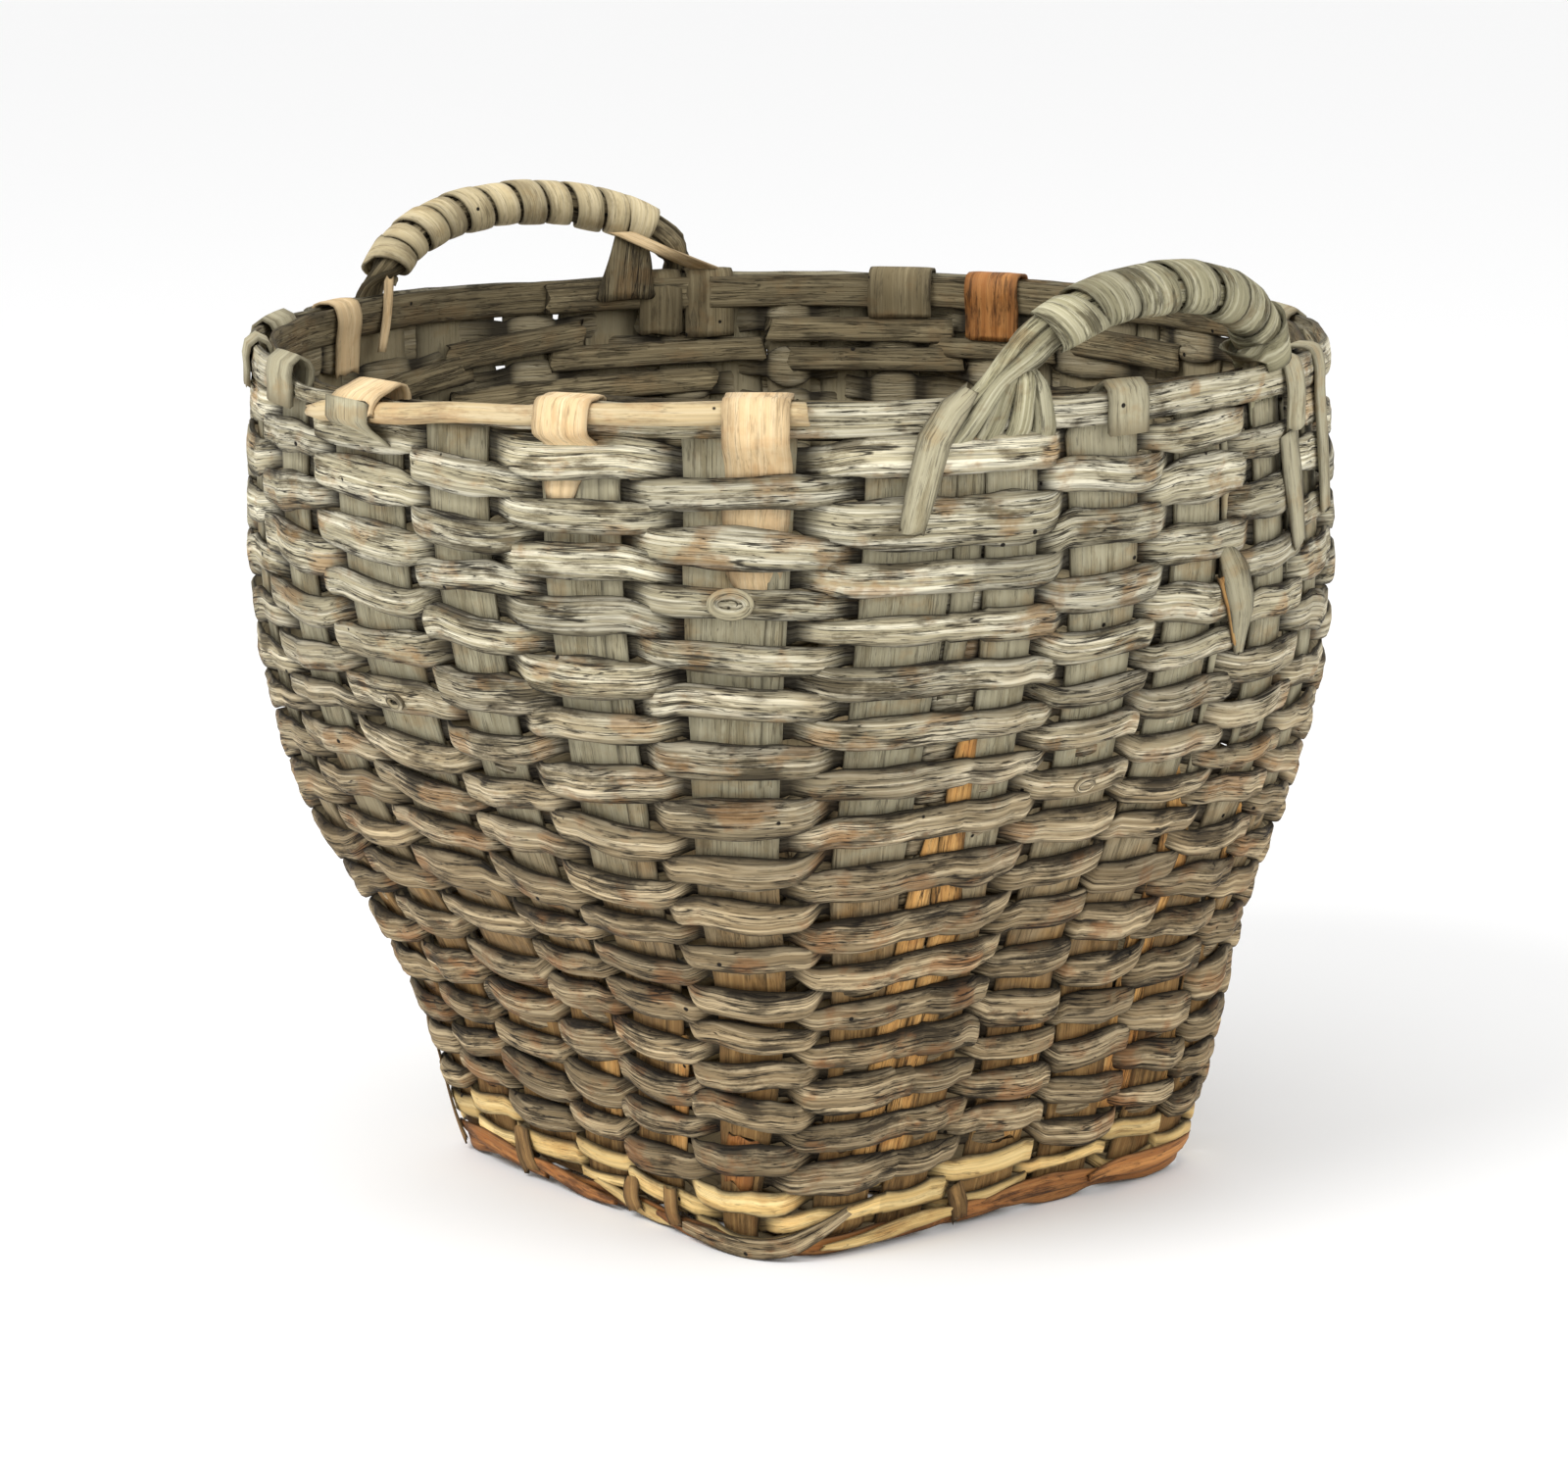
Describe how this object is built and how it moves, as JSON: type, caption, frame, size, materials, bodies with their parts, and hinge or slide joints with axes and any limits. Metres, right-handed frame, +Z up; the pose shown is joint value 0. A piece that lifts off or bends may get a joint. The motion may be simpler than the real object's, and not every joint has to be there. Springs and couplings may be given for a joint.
{
  "type": "two-handled splint basket",
  "caption": "Deep splint basket with a square plaited foot, a round bellied mouth, flat hoop rim and two wrapped hoop handles.",
  "frame": {"origin": "middle of the underside of the plaited foot, on the surface it stands on", "axes": "+Z up out of the mouth; the foot's sides run along X and Y, and the handles stand over +X and -X"},
  "size_m": [0.5158, 0.5158, 0.4556],
  "materials": {
    "weathered_splint": "matte",
    "silvered_weaver": "matte",
    "earthy_weaver": "matte",
    "fresh_willow": "matte",
    "brown_splint": "matte",
    "dark_splint": "matte",
    "peeled_rod": "matte",
    "tan_splint": "matte",
    "grey_wrap": "matte"
  },
  "bodies": {
    "root": {"foot_band": "brown_splint", "foot_weaver_1": "fresh_willow", "foot_weaver_2": "fresh_willow", "handle_back_core": "dark_splint", "handle_back_wrap": "tan_splint", "handle_front_core": "weathered_splint", "handle_front_wrap": "grey_wrap", "handle_tail_strip": "weathered_splint", "rim_hoop_inner": "dark_splint", "rim_hoop_outer": "silvered_weaver", "rim_loop_far": "brown_splint", "rim_loop_front": "tan_splint", "rim_loop_handle": "tan_splint", "rim_loop_left": "tan_splint", "rim_loop_middle": "tan_splint", "rim_repair_rod": "peeled_rod", "rim_strap_side": "weathered_splint", "splint_x_a": "weathered_splint", "splint_x_b": "weathered_splint", "splint_x_c": "weathered_splint", "splint_x_d": "weathered_splint", "splint_x_e": "weathered_splint", "splint_x_f": "weathered_splint", "splint_y_a": "weathered_splint", "splint_y_b": "weathered_splint", "splint_y_c": "weathered_splint", "splint_y_d": "weathered_splint", "splint_y_e": "weathered_splint", "splint_y_f": "weathered_splint", "weaver_row_01": "silvered_weaver", "weaver_row_02": "silvered_weaver", "weaver_row_03": "silvered_weaver", "weaver_row_04": "silvered_weaver", "weaver_row_05": "silvered_weaver", "weaver_row_06": "silvered_weaver", "weaver_row_07": "silvered_weaver", "weaver_row_08": "silvered_weaver", "weaver_row_09": "silvered_weaver", "weaver_row_10": "silvered_weaver", "weaver_row_11": "silvered_weaver", "weaver_row_12": "silvered_weaver", "weaver_row_13": "earthy_weaver", "weaver_row_14": "earthy_weaver", "weaver_row_15": "earthy_weaver", "weaver_row_16": "earthy_weaver", "weaver_row_17": "earthy_weaver", "weaver_row_18": "earthy_weaver", "weaver_row_19": "earthy_weaver", "weaver_row_20": "earthy_weaver", "weaver_row_21": "earthy_weaver", "weaver_row_22": "earthy_weaver", "weaver_row_23": "earthy_weaver", "weaver_row_24": "earthy_weaver", "weaver_row_25": "earthy_weaver", "weaver_row_26": "earthy_weaver", "weaver_row_27": "earthy_weaver", "weaver_row_28": "earthy_weaver", "weaver_row_29": "earthy_weaver", "weaver_row_30": "earthy_weaver", "weaver_row_31": "earthy_weaver"}
  },
  "joints": []
}
